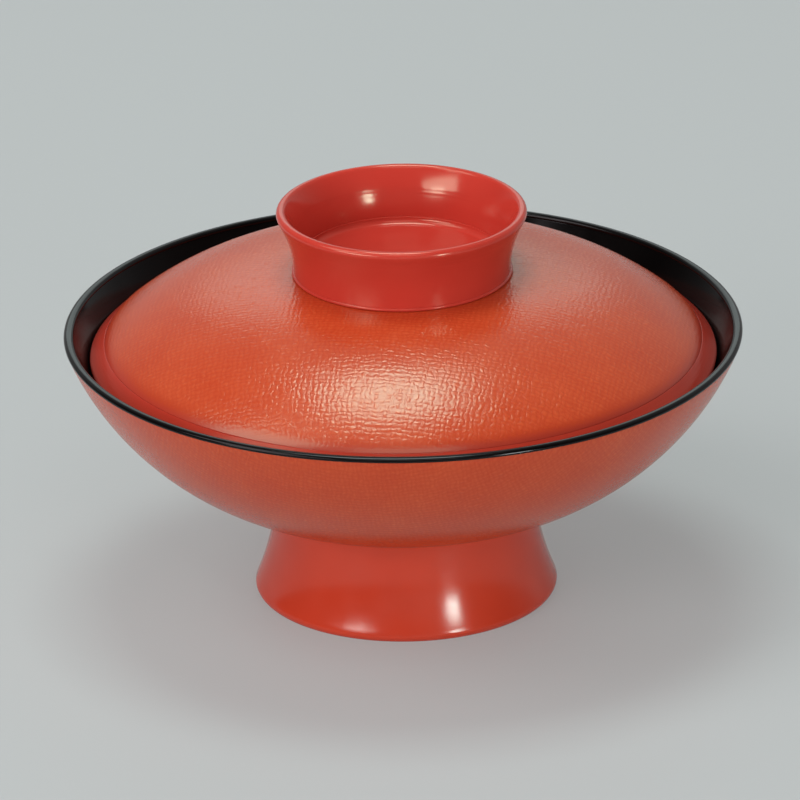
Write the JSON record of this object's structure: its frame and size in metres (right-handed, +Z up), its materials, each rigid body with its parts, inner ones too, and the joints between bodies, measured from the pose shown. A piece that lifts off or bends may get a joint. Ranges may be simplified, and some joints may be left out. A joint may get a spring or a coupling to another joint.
{
  "type": "lidded lacquer bowl",
  "caption": "Wide lidded lacquer bowl on a flared ring foot, with a cloth-textured red outside, a black lining and rim, and a lid with a ring grip that rests inside the mouth.",
  "frame": {"origin": "on the floor under the bowl's axis", "axes": "+Z up along the axis that every piece is turned about"},
  "size_m": [0.1683, 0.1682, 0.1007],
  "materials": {
    "core_wood": "bare turned wood, sealed under the layers",
    "cloth_lacquer": "satin vermilion lacquer over woven cloth",
    "red_lacquer": "smooth glossy vermilion lacquer",
    "black_lacquer": "smooth glossy black lacquer"
  },
  "bodies": {
    "bowl": {"bowl_core": "core_wood", "bowl_cloth": "cloth_lacquer", "bowl_lining": "black_lacquer", "rim_band": "black_lacquer", "foot_ring": "red_lacquer", "foot_well_lining": "red_lacquer"},
    "lid": {"lid_core": "core_wood", "lid_cloth": "cloth_lacquer", "lid_lining": "black_lacquer", "lid_edge_band": "red_lacquer", "knob_ring": "red_lacquer", "knob_bead": "red_lacquer", "knob_floor": "red_lacquer"}
  },
  "joints": [
    {"name": "lid_lift", "type": "slide", "parent": "bowl", "child": "lid", "axis": [0, 0, 1], "range_m": [0, 0.08]}
  ]
}
